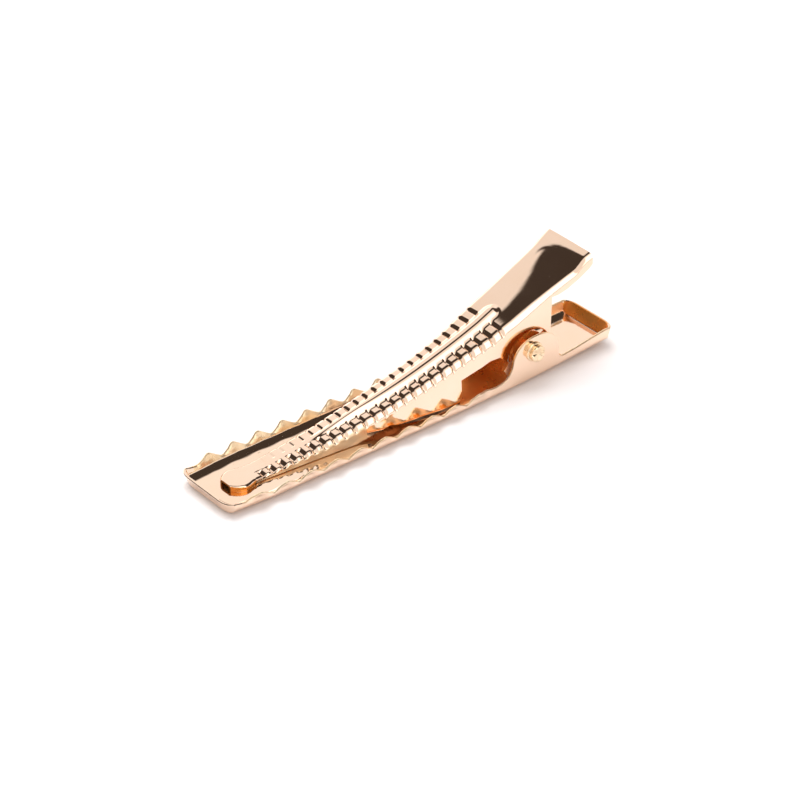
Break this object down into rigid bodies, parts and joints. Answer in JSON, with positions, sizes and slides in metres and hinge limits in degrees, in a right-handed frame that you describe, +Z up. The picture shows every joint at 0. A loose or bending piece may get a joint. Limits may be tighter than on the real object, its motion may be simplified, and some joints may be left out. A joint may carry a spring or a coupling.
{
  "type": "alligator hair clip",
  "caption": "Sprung metal alligator hair clip: a toothed pressed tray jaw, an arched grooved upper jaw with a finger handle, a riveted pivot pin and a torsion spring.",
  "frame": {"origin": "centre of the closed clip's box in X and Y, on the flat underside of the tray jaw (Z = 0)", "axes": "-X towards the gripping tip, +X towards the finger ends, Y along the pivot pin, +Z up from the tray jaw to the upper jaw"},
  "size_m": [0.0466, 0.0092, 0.0111],
  "materials": {
    "plated_tray": "polished light gold plating",
    "plated_arm": "polished light gold plating",
    "plated_pin": "polished, roughly peened ends",
    "spring_steel": "drawn wire with a thin light gold plating"
  },
  "bodies": {
    "tray": {"lower_jaw": "plated_tray", "pivot_rivet": "plated_pin", "torsion_spring": "spring_steel"},
    "arm": {"upper_jaw": "plated_arm"}
  },
  "joints": [
    {"name": "jaw_hinge", "type": "hinge", "parent": "tray", "child": "arm", "pos_m": [0.01245, 0, 0.0035], "axis": [0, 1, 0], "range_deg": [0, 40], "stiffness_Nm_per_rad": 0.02, "springref_deg": -0.57, "deforming": ["torsion_spring"]}
  ]
}
